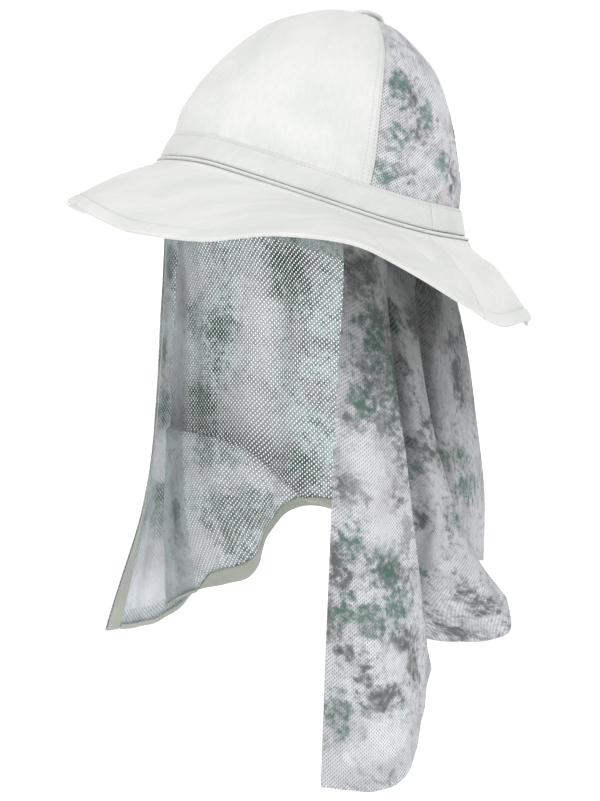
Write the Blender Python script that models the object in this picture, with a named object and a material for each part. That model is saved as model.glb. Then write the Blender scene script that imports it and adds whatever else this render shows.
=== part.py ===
"""Sun hat with an open-fronted mesh veil, as worn: the hat leans back and the veil hangs straight down.

Metres. +Z is up, the wearer faces -Y, and the wearer's left side is +X. The origin is the centre of the
head opening. Cloth parts are thin closed shells laid on shared surfaces. Azimuths run round the head from
0 at the front, over +90 at the wearer's left, to 180 at the back.
"""

from math import cos, hypot, pi, radians, sin, sqrt

import bmesh
import bpy
from mathutils import Vector

# Hat, in its own frame: z runs up the crown axis from the lower edge of the band.
TILT = radians(24.5)          # the hat leans back by this much
HALF_LENGTH = 0.104           # band, outside
HALF_WIDTH = 0.088
CROWN_HEIGHT = 0.1107
CROWN_SHIFT = -0.0063         # the crown bulges forward of the band's centre
CROWN_FOOT = 0.05             # the crown cloth starts this far up, behind the band
CROWN_TOP = 0.994
SEAM = 65.0                   # the woven front panel ends here on each side
BACK_SEAM = 122.0             # the rear mesh panel starts here
CLOTH = 0.0012
GAP = 0.0004                  # half the room left between two cloth panels at a seam

BAND_LOW, BAND_HIGH = 0.0030, 0.0165
BAND_OUT_LOW, BAND_OUT_HIGH = 0.0024, 0.0013   # how far the band stands off the crown
BAND_SPLIT = 94.0             # the band's side seams
BAND_TRIM = 0.3               # degrees taken off each end of a band piece
SEAM_TAPE, SEAM_TAPE_HALF, SEAM_TAPE_IN = 0.0007, 0.0035, -0.0022   # thickness, half width, place
TOP_LOOP = 0.0016
SWEAT_LOW, SWEAT_HIGH = 0.0005, 0.0240
SWEAT_IN, SWEAT_PLY = -0.0020, 0.0012
PIPING_RADIUS = 0.0011
PIPING_UP, PIPING_OUT = 0.0006, 0.0010

BRIM_PLY = 0.0009
PLY_GAP = 0.0002              # half the room between the brim's two plies
BRIM_LEVEL = -0.002           # the brim's root, below the band
BRIM_STRAIGHT = 0.6           # share of the brim's drop that is straight; the rest curls down
BRIM_TRIM = 0.4               # degrees taken off each end of a brim piece
BRIM_SPLITS = (-38.0, 38.0, 142.0, 218.0, 322.0)
BRIM_ROOT = 0.015             # where the side pieces start, as a share of the brim's width
FLAP_ROOT = 0.10              # the front and back pieces start further out, past their fold lines

# Veil
TAIL_IN = -0.0050             # the tails are sewn this far inside the band's outer face
CURTAIN_IN = -0.0100          # and the curtain further in, under them
VEIL_TOP = -0.0040
FACING, FACING_GAP = 0.0009, 0.0006
FACING_CLEARANCE = 0.012      # room between a front facing and its hem facing, as a share of the width
CURTAIN_HEM, TAIL_HEM = 0.05, 0.035              # depth of the hem facings, as a share of the length
BINDING, BINDING_START, BINDING_SWEEP = 0.0008, 53.0, 254.0
CURTAIN_AXIS_Y, CURTAIN_AXIS_Z = 0.049, -0.043   # the curtain swings about a line above its own weight


def keyed(keys, x, period=None):
    """Smooth curve through (x, value) keys; a period makes it go round."""
    xs = [key[0] for key in keys]
    ys = [key[1] for key in keys]
    if period:
        x = (x - xs[0]) % period + xs[0]
        xs = [xs[-1] - period] + xs + [xs[0] + period, xs[1] + period]
        ys = [ys[-1]] + ys + [ys[0], ys[1]]
    else:
        x = min(max(x, xs[0]), xs[-1])
        xs = [2 * xs[0] - xs[1]] + xs + [2 * xs[-1] - xs[-2]]
        ys = [2 * ys[0] - ys[1]] + ys + [2 * ys[-1] - ys[-2]]
    i = max(j for j in range(1, len(xs) - 2) if xs[j] <= x)
    step = xs[i + 1] - xs[i]
    t = (x - xs[i]) / step
    start = (ys[i + 1] - ys[i - 1]) * (step / (xs[i + 1] - xs[i - 1]))
    end = (ys[i + 2] - ys[i]) * (step / (xs[i + 2] - xs[i]))
    a = 2 * t**3 - 3 * t**2 + 1
    b = t**3 - 2 * t**2 + t
    return ys[i] * a + start * b + ys[i + 1] * (1 - a) + end * (t**3 - t**2)


CROWN_PROFILE = [(0, 0.975), (0.13, 0.925), (0.27, 0.897), (0.42, 0.829), (0.58, 0.733), (0.72, 0.622),
                 (0.83, 0.503), (0.92, 0.334), (0.975, 0.184), (1.0, 0.0)]
# How far the foot of the hat sags, or rises, round the head. It fades to nothing at the apex.
LEVEL = [(0, -0.0063), (22, -0.0078), (50, -0.0096), (70, -0.0099), (90, -0.0080), (110, -0.0042),
         (130, -0.0015), (180, -0.0010), (230, -0.0015), (250, -0.0042), (270, -0.0080), (290, -0.0099),
         (312, -0.0094), (338, -0.0078)]
# How far the brim's edge drops below the band, and how wide the brim is, round the head.
BRIM_DROP = [(0, 0.0485), (20, 0.0420), (35, 0.0280), (50, 0.0198), (62, 0.0230), (80, 0.0331),
             (100, 0.0400), (112, 0.0335), (130, 0.0330), (155, 0.0300), (180, 0.0260), (225, 0.0220),
             (270, 0.0300), (290, 0.0350), (315, 0.0345), (335, 0.0385), (350, 0.0462)]
BRIM_WIDTH = [(0, 0.0623), (20, 0.0643), (45, 0.0670), (90, 0.0672), (110, 0.0655), (125, 0.0600),
              (150, 0.0625), (180, 0.0610), (270, 0.0603), (300, 0.0610), (315, 0.0560), (330, 0.0590),
              (345, 0.0610)]


def to_world(p):
    """Hat frame to world: the hat leans back about X."""
    return Vector((p[0], p[1] * cos(TILT) + p[2] * sin(TILT), p[2] * cos(TILT) - p[1] * sin(TILT)))


def ring(azimuth, z=0.0, out=0.0, scale=1.0, shift=0.0):
    """Point on the head ellipse, moved out along its normal."""
    a = radians(azimuth)
    nx, ny = sin(a) * HALF_LENGTH, -cos(a) * HALF_WIDTH
    size = hypot(nx, ny)
    x = HALF_WIDTH * scale * sin(a) + out * nx / size
    y = -HALF_LENGTH * scale * cos(a) + out * ny / size + shift
    fade = 1.0 - min(max(z / CROWN_HEIGHT, 0.0), 1.0)
    return to_world((x, y, z + keyed(LEVEL, azimuth, 360) * fade))


def crown(azimuth, f, out=0.0):
    """Crown surface; f runs from the band's lower edge to the apex."""
    shift = CROWN_SHIFT * max(0.0, sin(pi * f)) ** 0.7
    return ring(azimuth, CROWN_HEIGHT * f, out, keyed(CROWN_PROFILE, f), shift)


def brim(azimuth, q):
    """Brim surface; q runs from the band to the outer edge."""
    drop = keyed(BRIM_DROP, azimuth, 360)
    width = keyed(BRIM_WIDTH, azimuth, 360)
    out = sqrt(width**2 - drop**2) * q
    return ring(azimuth, BRIM_LEVEL - drop * q * (BRIM_STRAIGHT + (1 - BRIM_STRAIGHT) * q), out)


# Veil panels as ribs: the azimuth each rib is sewn at, then points down it to the hem, front to back.
LEFT_TAIL = [
    (53, [(0.070, -0.056, -0.015), (0.071, -0.063, -0.097),
         (0.071, -0.070, -0.219), (0.070, -0.074, -0.340)]),
    (64, [(0.080, -0.048, -0.020), (0.086, -0.053, -0.096),
         (0.090, -0.052, -0.220), (0.091, -0.048, -0.345)]),
    (70, [(0.085, -0.041, -0.030), (0.091, -0.041, -0.098),
         (0.095, -0.035, -0.198), (0.098, -0.024, -0.336)]),
    (75, [(0.085, -0.035, -0.039), (0.091, -0.032, -0.100),
         (0.096, -0.019, -0.198), (0.097, -0.005, -0.277)]),
]
CURTAIN = [
    (66, [(0.073, -0.032, -0.042), (0.076, -0.029, -0.105),
         (0.079, -0.019, -0.201), (0.083, -0.004, -0.261)]),
    (82, [(0.077, -0.018, -0.044), (0.086, -0.015, -0.106),
         (0.093, -0.003, -0.183), (0.097, 0.019, -0.268)]),
    (97, [(0.077, -0.001, -0.047), (0.087, 0.000, -0.107),
         (0.094, 0.013, -0.168), (0.107, 0.055, -0.270)]),
    (112, [(0.069, 0.026, -0.056), (0.072, 0.029, -0.118),
         (0.079, 0.038, -0.177), (0.083, 0.060, -0.249)]),
    (132, [(0.055, 0.063, -0.079), (0.060, 0.066, -0.132),
         (0.066, 0.070, -0.190), (0.069, 0.075, -0.240)]),
    (156, [(0.037, 0.096, -0.096), (0.041, 0.103, -0.146),
         (0.045, 0.109, -0.207), (0.045, 0.108, -0.253)]),
    (180, [(-0.002, 0.103, -0.104), (-0.004, 0.113, -0.160),
         (-0.002, 0.121, -0.209), (-0.001, 0.123, -0.251)]),
    (204, [(-0.042, 0.098, -0.097), (-0.048, 0.104, -0.160),
         (-0.049, 0.106, -0.202), (-0.051, 0.107, -0.246)]),
    (228, [(-0.070, 0.072, -0.090), (-0.076, 0.077, -0.152),
         (-0.079, 0.079, -0.195), (-0.085, 0.082, -0.244)]),
    (252, [(-0.085, 0.033, -0.078), (-0.092, 0.038, -0.146),
         (-0.098, 0.044, -0.213), (-0.108, 0.054, -0.288)]),
    (274, [(-0.088, -0.006, -0.069), (-0.094, -0.002, -0.150),
         (-0.102, 0.004, -0.221), (-0.110, 0.012, -0.288)]),
    (294, [(-0.081, -0.037, -0.055), (-0.085, -0.038, -0.139),
         (-0.091, -0.037, -0.207), (-0.099, -0.033, -0.282)]),
]
RIGHT_TAIL = [
    (307, [(-0.074, -0.055, -0.048), (-0.082, -0.056, -0.133),
         (-0.096, -0.055, -0.209), (-0.127, -0.059, -0.298)]),
    (296, [(-0.089, -0.039, -0.055), (-0.098, -0.035, -0.143),
         (-0.110, -0.029, -0.221), (-0.133, -0.021, -0.308)]),
    (291, [(-0.094, -0.027, -0.059), (-0.103, -0.019, -0.147),
         (-0.116, -0.011, -0.227), (-0.131, 0.004, -0.307)]),
    (285, [(-0.096, -0.015, -0.062), (-0.107, -0.006, -0.152),
         (-0.119, 0.008, -0.233), (-0.129, 0.028, -0.296)]),
]


def draped(ribs, inset):
    """Surface through a panel's ribs; u runs across them and v from the sewn edge to the hem."""
    rows = []
    for azimuth, points in ribs:
        rows.append([ring(azimuth, VEIL_TOP, inset)] + [Vector(point) for point in points])
    steps = [0.0, 0.16, 0.42, 0.74, 1.0]

    def surface(u, v):
        across = [(i / (len(rows) - 1), keyed(list(zip(steps, row)), v)) for i, row in enumerate(rows)]
        return keyed(across, u)

    return surface


def offset(surface, distance):
    """The same surface moved along its normal."""
    step = 0.002

    def moved(u, v):
        u0, u1 = (u - step, u) if u > 1 - step else (u, u + step)
        v0, v1 = (v - step, v) if v > 1 - step else (v, v + step)
        across = surface(u1, v) - surface(u0, v)
        down = surface(u, v1) - surface(u, v0)
        return surface(u, v) + across.cross(down).normalized() * distance

    return moved


def spaced(start, end, count):
    return [start + (end - start) * i / count for i in range(count + 1)]


def material(name, colour, roughness, metallic=0.0):
    shader = bpy.data.materials.new(name)
    shader.use_nodes = True
    principled = shader.node_tree.nodes["Principled BSDF"]
    principled.inputs["Base Color"].default_value = (*colour, 1.0)
    principled.inputs["Roughness"].default_value = roughness
    principled.inputs["Metallic"].default_value = metallic
    return shader


def new_object(name, mesh, shader):
    obj = bpy.data.objects.new(name, mesh)
    bpy.context.scene.collection.objects.link(obj)
    mesh.materials.append(shader)
    return obj


def cloth(name, surface, us, vs, thickness, shader, side=0.0, closed=False):
    """A thin closed shell over the surface. side +1 grows it out of the surface, -1 inwards."""
    mesh = bmesh.new()
    columns = us[:-1] if closed else us
    grid = [[mesh.verts.new(surface(u, v)) for v in vs] for u in columns]
    count = len(columns) if closed else len(columns) - 1
    for i in range(count):
        here, there = grid[i], grid[(i + 1) % len(grid)]
        for j in range(len(vs) - 1):
            mesh.faces.new((here[j], there[j], there[j + 1], here[j + 1]))
    data = bpy.data.meshes.new(name)
    mesh.to_mesh(data)
    mesh.free()
    obj = new_object(name, data, shader)
    solid = obj.modifiers.new("thickness", "SOLIDIFY")
    solid.thickness = thickness
    solid.offset = side
    solid.use_even_offset = True
    return obj


def tube(name, points, radius, sides, shader):
    """Round cord through a closed loop of points."""
    curve = bpy.data.curves.new(name, "CURVE")
    curve.dimensions = "3D"
    curve.bevel_depth = radius
    curve.bevel_resolution = (sides - 4) // 2
    spline = curve.splines.new("POLY")
    spline.points.add(len(points) - 1)
    for point, co in zip(spline.points, points):
        point.co = (*co, 1.0)
    spline.use_cyclic_u = True
    obj = bpy.data.objects.new(name, curve)
    bpy.context.scene.collection.objects.link(obj)
    curve.materials.append(shader)
    return obj


def crown_panel(start, end):
    """Crown surface between two seams, with the seam allowance taken off both sides."""
    def surface(u, v):
        radius = max(HALF_WIDTH * keyed(CROWN_PROFILE, v), 0.002)
        trim = (GAP / radius) * 180 / pi
        return crown(start + trim + (end - start - 2 * trim) * u, v)

    return surface


def build_crown(woven, mesh):
    levels = spaced(CROWN_FOOT, 0.92, 8) + [0.955, 0.978, CROWN_TOP]
    panels = [
        ("crown_front", -SEAM, SEAM, 16, woven),
        ("crown_mesh_left", SEAM, BACK_SEAM, 7, mesh),
        ("crown_mesh_back", BACK_SEAM, 360 - BACK_SEAM, 14, mesh),
        ("crown_mesh_right", 360 - BACK_SEAM, 360 - SEAM, 7, mesh),
    ]
    for name, start, end, count, shader in panels:
        cloth(name, crown_panel(start, end), spaced(0, 1, count), levels, CLOTH, shader)


def build_seam_tapes(shader):
    """Flat tapes inside the crown, over each seam."""
    seams = [("left", SEAM), ("rear_left", BACK_SEAM), ("rear_right", 360 - BACK_SEAM), ("right", 360 - SEAM)]
    for name, azimuth in seams:
        def surface(u, v, azimuth=azimuth):
            radius = HALF_WIDTH * keyed(CROWN_PROFILE, v)
            half = SEAM_TAPE_HALF / radius * 180 / pi
            return crown(azimuth + half * (2 * u - 1), v)

        levels = spaced(0.24, 0.90, 8)
        cloth(f"seam_tape_{name}", offset(surface, SEAM_TAPE_IN), [0, 0.5, 1], levels, SEAM_TAPE, shader)


def build_top_loop(shader):
    """Folded self-fabric tab that lies over the apex, running front to back."""
    centre = Vector(crown(0, 1.0))
    forward = to_world((0, -1, 0))
    up = to_world((0, 0, 1))
    side = Vector((1, 0, 0))
    profile = [(0.0105, 0.0013, 0.0024), (0.004, 0.0036, 0.0030), (-0.003, 0.0044, 0.0036),
               (-0.0095, 0.0040, 0.0042), (-0.0135, 0.0022, 0.0040)]

    def surface(u, v):
        keys = [(i / (len(profile) - 1), Vector(entry)) for i, entry in enumerate(profile)]
        along, height, half = keyed(keys, v)
        return centre + forward * along + up * height + side * half * (2 * u - 1)

    cloth("top_loop", surface, [0, 0.5, 1], spaced(0, 1, 8), TOP_LOOP, shader)


def build_band(shader, sweat, piping):
    def surface(start, end):
        def at(u, v):
            z = BAND_LOW + (BAND_HIGH - BAND_LOW) * v
            out = BAND_OUT_LOW + (BAND_OUT_HIGH - BAND_OUT_LOW) * v
            return crown(start + BAND_TRIM + (end - start - 2 * BAND_TRIM) * u, z / CROWN_HEIGHT, out)

        return at

    halves = [("band_front", -BAND_SPLIT, BAND_SPLIT, 32), ("band_back", BAND_SPLIT, 360 - BAND_SPLIT, 30)]
    for name, start, end, count in halves:
        cloth(name, surface(start, end), spaced(0, 1, count), [0, 0.5, 1], CLOTH, shader, 1.0)

    def inside(u, v):
        z = SWEAT_LOW + (SWEAT_HIGH - SWEAT_LOW) * v
        return crown(360 * u, z / CROWN_HEIGHT, SWEAT_IN)

    cloth("sweatband", inside, spaced(0, 1, 60), [0, 0.5, 1], SWEAT_PLY, sweat, -1.0, closed=True)
    loop = [ring(6 * i, PIPING_UP, PIPING_OUT) for i in range(60)]
    tube("brim_piping", loop, PIPING_RADIUS, 6, piping)


def build_brim(shader, under):
    """Two plies in four pieces each, meeting at short radial seams."""
    names = ("front", "left", "back", "right")
    for name, start, end in zip(names, BRIM_SPLITS, BRIM_SPLITS[1:]):
        flap = name in ("front", "back")
        count = 10 if flap else 14

        def surface(u, v, start=start, end=end, root=FLAP_ROOT if flap else BRIM_ROOT):
            return brim(start + BRIM_TRIM + (end - start - 2 * BRIM_TRIM) * u, root + (1 - root) * v)

        us = spaced(0, 1, count)
        vs = spaced(0, 1, 5)
        cloth(f"brim_{name}_top", offset(surface, -PLY_GAP), us, vs, BRIM_PLY, shader, -1.0)
        cloth(f"brim_{name}_under", offset(surface, PLY_GAP), us, vs, BRIM_PLY, under, 1.0)


def build_veil(mesh, facing, tape):
    panels = [("left_tail", LEFT_TAIL, TAIL_IN, 6, 14, 1), ("curtain", CURTAIN, CURTAIN_IN, 33, 12, 1),
              ("right_tail", RIGHT_TAIL, TAIL_IN, 6, 14, -1)]
    for name, ribs, inset, columns, rows, hand in panels:
        surface = draped(ribs, inset)
        us = spaced(0, 1, columns)
        vs = spaced(0, 1, rows)
        cloth(f"veil_{name}", surface, us, vs, CLOTH, mesh)
        inner = offset(surface, hand * (CLOTH / 2 + FACING_GAP + FACING / 2))
        if name == "curtain":
            cloth("facing_curtain_hem", inner, us, [1 - CURTAIN_HEM, 1], FACING, facing)
            continue
        side = name.split("_")[0]
        cloth(f"facing_{side}_front", inner, [0, us[1]], vs[1:], FACING, facing)
        hem = [us[1] + FACING_CLEARANCE] + us[2:]
        cloth(f"facing_{side}_hem", inner, hem, [1 - TAIL_HEM, 1], FACING, facing)

    def binding(u, v):
        return ring(BINDING_START + BINDING_SWEEP * u, -0.0075 + 0.006 * v, CURTAIN_IN - 0.0022 - 0.003 * v)

    cloth("curtain_top_tape", binding, spaced(0, 1, 40), [0, 1], BINDING, tape, -1.0)


FOLD_OUT, FOLD_DOWN = 0.004, -0.004   # fold lines of the brim's flaps, from the band's outer face
PIVOTS = [
    ("pivot_brim_front", ring(0, FOLD_DOWN, FOLD_OUT), ["brim_front_top", "brim_front_under"]),
    ("pivot_brim_back", ring(180, FOLD_DOWN, FOLD_OUT), ["brim_back_top", "brim_back_under"]),
    ("pivot_left_tail", ring(64, VEIL_TOP, TAIL_IN),
     ["veil_left_tail", "facing_left_front", "facing_left_hem"]),
    ("pivot_right_tail", ring(296, VEIL_TOP, TAIL_IN),
     ["veil_right_tail", "facing_right_front", "facing_right_hem"]),
    ("pivot_curtain", Vector((0, CURTAIN_AXIS_Y, CURTAIN_AXIS_Z)),
     ["veil_curtain", "facing_curtain_hem", "curtain_top_tape"]),
]


def hang_on_pivots():
    """Parents each moving piece to an empty on its own axis, without shifting it."""
    for name, place, pieces in PIVOTS:
        empty = bpy.data.objects.new(name, None)
        empty.location = place
        bpy.context.scene.collection.objects.link(empty)
        for piece in pieces:
            obj = bpy.data.objects[piece]
            obj.parent = empty
            obj.location = -Vector(place)


def main():
    for obj in list(bpy.data.objects):
        bpy.data.objects.remove(obj, do_unlink=True)
    woven = material("woven_cloth", (0.84, 0.85, 0.82), 0.85)
    under = material("brim_lining", (0.55, 0.57, 0.53), 0.85)
    mesh = material("printed_mesh", (0.58, 0.62, 0.63), 0.7)
    facing = material("veil_facing", (0.30, 0.33, 0.29), 0.8)
    sweat = material("sweatband_knit", (0.62, 0.64, 0.61), 0.9)
    build_crown(woven, mesh)
    build_seam_tapes(facing)
    build_top_loop(woven)
    build_band(woven, sweat, woven)
    build_brim(woven, under)
    build_veil(mesh, facing, facing)
    hang_on_pivots()


main()
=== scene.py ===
"""Looks of a sun hat with an open-fronted veil: woven crown, band and brim, and knitted mesh that hangs."""
import bpy
import numpy as np
from math import cos, pi, radians, sin
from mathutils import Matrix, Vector, noise


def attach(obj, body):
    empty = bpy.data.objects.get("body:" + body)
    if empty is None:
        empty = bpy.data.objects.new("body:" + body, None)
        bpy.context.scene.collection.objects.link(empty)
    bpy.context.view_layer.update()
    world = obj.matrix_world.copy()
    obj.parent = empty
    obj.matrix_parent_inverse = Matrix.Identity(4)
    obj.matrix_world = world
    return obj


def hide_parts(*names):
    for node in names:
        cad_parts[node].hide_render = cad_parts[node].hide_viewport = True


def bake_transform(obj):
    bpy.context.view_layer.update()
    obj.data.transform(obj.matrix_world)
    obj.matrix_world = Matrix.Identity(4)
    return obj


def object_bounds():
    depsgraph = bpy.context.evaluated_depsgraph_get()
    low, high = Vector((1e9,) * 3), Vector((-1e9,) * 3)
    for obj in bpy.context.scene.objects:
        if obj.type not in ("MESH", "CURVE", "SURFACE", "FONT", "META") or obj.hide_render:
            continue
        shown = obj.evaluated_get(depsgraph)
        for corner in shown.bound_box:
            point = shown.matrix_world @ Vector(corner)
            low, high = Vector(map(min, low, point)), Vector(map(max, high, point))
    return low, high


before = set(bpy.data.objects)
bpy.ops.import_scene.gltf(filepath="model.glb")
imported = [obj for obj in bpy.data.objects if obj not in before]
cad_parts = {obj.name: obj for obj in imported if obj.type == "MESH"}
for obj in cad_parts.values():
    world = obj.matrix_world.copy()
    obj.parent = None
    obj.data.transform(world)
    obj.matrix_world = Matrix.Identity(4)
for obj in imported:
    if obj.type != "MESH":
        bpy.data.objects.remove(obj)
cad_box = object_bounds()

# ---------------------------------------------------------------- the hat's own measures, as in the frame
TILT = radians(24.5)
HALF_LENGTH, HALF_WIDTH = 0.104, 0.088
CROWN_HEIGHT, CROWN_SHIFT = 0.1107, -0.0063
SEAM, BACK_SEAM, BAND_SPLIT = 65.0, 122.0, 94.0
BAND_LOW, BAND_HIGH = 0.0030, 0.0172
VEIL_TOP = -0.0040
TAIL_IN, CURTAIN_IN = -0.0050, -0.0100
WOVEN, MESH = 0.0008, 0.00022      # cloth thicknesses
FACING, TAPE, BAND_PLY, LOOP_PLY, BRIM_PLY = 0.0005, 0.0006, 0.0012, 0.0018, 0.0009
SEAM_PROUD = 0.0006                # how far the woven front stands over the mesh
FACING_IN = 0.0012                 # how far a facing lies inside its mesh

CROWN_PROFILE = [(0, 0.975), (0.13, 0.925), (0.27, 0.897), (0.42, 0.829), (0.58, 0.733), (0.72, 0.622),
                 (0.83, 0.503), (0.92, 0.334), (0.975, 0.184), (1.0, 0.0)]
LEVEL = [(0, -0.0063), (22, -0.0078), (50, -0.0096), (70, -0.0099), (90, -0.0080), (110, -0.0042),
         (130, -0.0015), (180, -0.0010), (230, -0.0015), (250, -0.0042), (270, -0.0080), (290, -0.0099),
         (312, -0.0094), (338, -0.0078)]
BRIM_DROP = [(0, 0.0485), (20, 0.0420), (35, 0.0280), (50, 0.0198), (62, 0.0230), (80, 0.0331),
             (100, 0.0400), (112, 0.0335), (130, 0.0352), (155, 0.0330), (180, 0.0270), (225, 0.0220),
             (270, 0.0300), (290, 0.0350), (315, 0.0345), (335, 0.0385), (350, 0.0462)]
BRIM_WIDTH = [(0, 0.0623), (20, 0.0643), (45, 0.0670), (90, 0.0672), (110, 0.0655), (125, 0.0600),
              (150, 0.0625), (180, 0.0610), (270, 0.0603), (300, 0.0610), (315, 0.0560), (330, 0.0590),
              (345, 0.0610)]


def keyed(keys, x, period=None):
    """Smooth curve through (x, value) keys, read at every x; a period makes it go round."""
    xs = np.array([key[0] for key in keys], float)
    ys = np.array([key[1] for key in keys], float)
    x = np.asarray(x, float)
    if period:
        x = (x - xs[0]) % period + xs[0]
        xs = np.concatenate([[xs[-1] - period], xs, [xs[0] + period, xs[1] + period]])
        ys = np.concatenate([ys[-1:], ys, ys[:2]])
    else:
        x = np.clip(x, xs[0], xs[-1])
        xs = np.concatenate([[2 * xs[0] - xs[1]], xs, [2 * xs[-1] - xs[-2]]])
        ys = np.concatenate([[2 * ys[0] - ys[1]], ys, [2 * ys[-1] - ys[-2]]])
    i = np.clip(np.searchsorted(xs, x, side="right") - 1, 1, len(xs) - 3)
    step = xs[i + 1] - xs[i]
    t = (x - xs[i]) / step
    before, after = step / (xs[i + 1] - xs[i - 1]), step / (xs[i + 2] - xs[i])
    if ys.ndim > 1:
        t, before, after = t[..., None], before[..., None], after[..., None]
    a = 2 * t**3 - 3 * t**2 + 1
    return (ys[i] * a + (ys[i + 1] - ys[i - 1]) * before * (t**3 - 2 * t**2 + t)
            + ys[i + 1] * (1 - a) + (ys[i + 2] - ys[i]) * after * (t**3 - t**2))


def to_world(x, y, z):
    """Hat frame to world: the hat leans back about X."""
    back, up = y * cos(TILT) + z * sin(TILT), z * cos(TILT) - y * sin(TILT)
    return np.stack(np.broadcast_arrays(x, back, up), -1)


def ring(azimuth, z=0.0, out=0.0, scale=1.0, shift=0.0):
    """Points on the head ellipse, moved out along its normal; azimuth 0 is the front, +90 the left."""
    a = np.radians(azimuth)
    nx, ny = np.sin(a) * HALF_LENGTH, -np.cos(a) * HALF_WIDTH
    size = np.hypot(nx, ny)
    x = HALF_WIDTH * scale * np.sin(a) + out * nx / size
    y = -HALF_LENGTH * scale * np.cos(a) + out * ny / size + shift
    fade = 1 - np.clip(np.asarray(z) / CROWN_HEIGHT, 0, 1)
    return to_world(x, y, z + keyed(LEVEL, azimuth, 360) * fade)


def crown(azimuth, f, out=0.0):
    """Points on the crown at a share f of its height, moved out from its surface."""
    shift = CROWN_SHIFT * np.maximum(0, np.sin(pi * np.clip(f, 0, 1))) ** 0.7
    return ring(azimuth, CROWN_HEIGHT * f, out, keyed(CROWN_PROFILE, f), shift)


def brim(azimuth, q, lower=0.0):
    """Points on the brim, from its root at q 0 to its edge at q 1."""
    drop = keyed(BRIM_DROP, azimuth, 360)
    width = keyed(BRIM_WIDTH, azimuth, 360)
    out = np.sqrt(width**2 - drop**2) * q
    return ring(azimuth, -0.002 - drop * (0.6 * q + 0.4 * q * q) - lower, out)


def wrap(a):
    """Degrees from -180 to 180."""
    return (np.asarray(a) + 180) % 360 - 180


def bump(x, centre, width):
    """Bell curve: 1 at the centre, fading over the width."""
    return np.exp(-(((x - centre) / width) ** 2))


def smooth(x, low, high):
    """0 at low and beyond, 1 at high and beyond, smooth between."""
    t = np.clip((x - low) / (high - low), 0, 1)
    return t * t * (3 - 2 * t)


def noise_at(points, scale, seed=0.0):
    """Perlin noise at each point, about -1 to 1."""
    flat = points.reshape(-1, 3) * scale
    values = [noise.noise(Vector(p) + Vector((seed, 2 * seed, -seed))) for p in flat]
    return np.array(values).reshape(points.shape[:-1])


# ---------------------------------------------------------------- meshes
def normals_of(grid, wrap_u=False):
    """Unit normals of a grid of points, from its own neighbours."""
    if wrap_u:
        across = np.roll(grid, -1, 0) - np.roll(grid, 1, 0)
    else:
        across = np.gradient(grid, axis=0)
    down = np.gradient(grid, axis=1)
    n = np.cross(across, down)
    return n / np.maximum(np.linalg.norm(n, axis=-1, keepdims=True), 1e-12)


def lengths_along(grid, axis):
    """Distance travelled along an axis of the grid, in metres."""
    steps = np.linalg.norm(np.diff(grid, axis=axis), axis=-1)
    pad = [(0, 0), (0, 0)]
    pad[axis] = (1, 0)
    return np.cumsum(np.pad(steps, pad), axis=axis)


def made(name, points, faces, materials):
    """Smooth-shaded object of points and faces, in the scene."""
    mesh = bpy.data.meshes.new(name)
    mesh.from_pydata(points.reshape(-1, 3).tolist(), [], faces.tolist())
    for material in materials:
        mesh.materials.append(material)
    mesh.polygons.foreach_set("use_smooth", np.ones(len(faces), bool))
    obj = bpy.data.objects.new(name, mesh)
    bpy.context.scene.collection.objects.link(obj)
    return obj


def cloth(name, grid, thickness, materials, closed=False, uv=None, outward=1, dyes=None):
    """A sheet through the grid with a second face behind it. materials: the face's and the back's."""
    nu, nv = grid.shape[:2]
    normal = normals_of(grid, closed) * outward
    back = grid - normal * thickness
    points = np.concatenate([grid.reshape(-1, 3), back.reshape(-1, 3)])
    count = nu * nv
    columns = nu if closed else nu - 1
    i, j = np.meshgrid(np.arange(columns), np.arange(nv - 1), indexing="ij")
    i2 = (i + 1) % nu
    quad = np.stack([i * nv + j, i2 * nv + j, i2 * nv + j + 1, i * nv + j + 1], -1).reshape(-1, 4)
    if outward < 0:
        quad = quad[:, ::-1]
    rim = []
    edges = [np.arange(columns) * nv, np.arange(columns) * nv + nv - 1]
    for edge, flip in zip(edges, (False, True)):
        ahead = (edge + nv) % count if closed else edge + nv
        strip = np.stack([ahead, edge, edge + count, ahead + count], -1)
        rim.append(strip[:, ::-1] if flip != (outward < 0) else strip)
    if not closed:
        for start, flip in ((0, True), ((nu - 1) * nv, False)):
            edge = start + np.arange(nv - 1)
            strip = np.stack([edge + 1, edge, edge + count, edge + 1 + count], -1)
            rim.append(strip[:, ::-1] if flip != (outward < 0) else strip)
    rim = np.concatenate(rim)
    faces = np.concatenate([quad, quad[:, ::-1] + count, rim])
    obj = made(name, points, faces, materials)
    mesh = obj.data
    if uv is None:
        uv = np.stack([lengths_along(grid, 0), lengths_along(grid, 1)], -1)
    flat_uv = np.concatenate([uv.reshape(-1, 2)] * 2)
    layer = mesh.uv_layers.new(name="UVMap")
    layer.data.foreach_set("uv", flat_uv[faces.reshape(-1)].astype(np.float32).reshape(-1))
    for dye, amount in (dyes or {}).items():
        layer = mesh.attributes.new(dye, "FLOAT", "POINT")
        layer.data.foreach_set("value", np.concatenate([amount.reshape(-1)] * 2).astype(np.float32))
    index = np.zeros(len(faces), np.int32)
    index[len(quad):] = len(materials) - 1
    mesh.polygons.foreach_set("material_index", index)
    mesh.update()
    return obj


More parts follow.
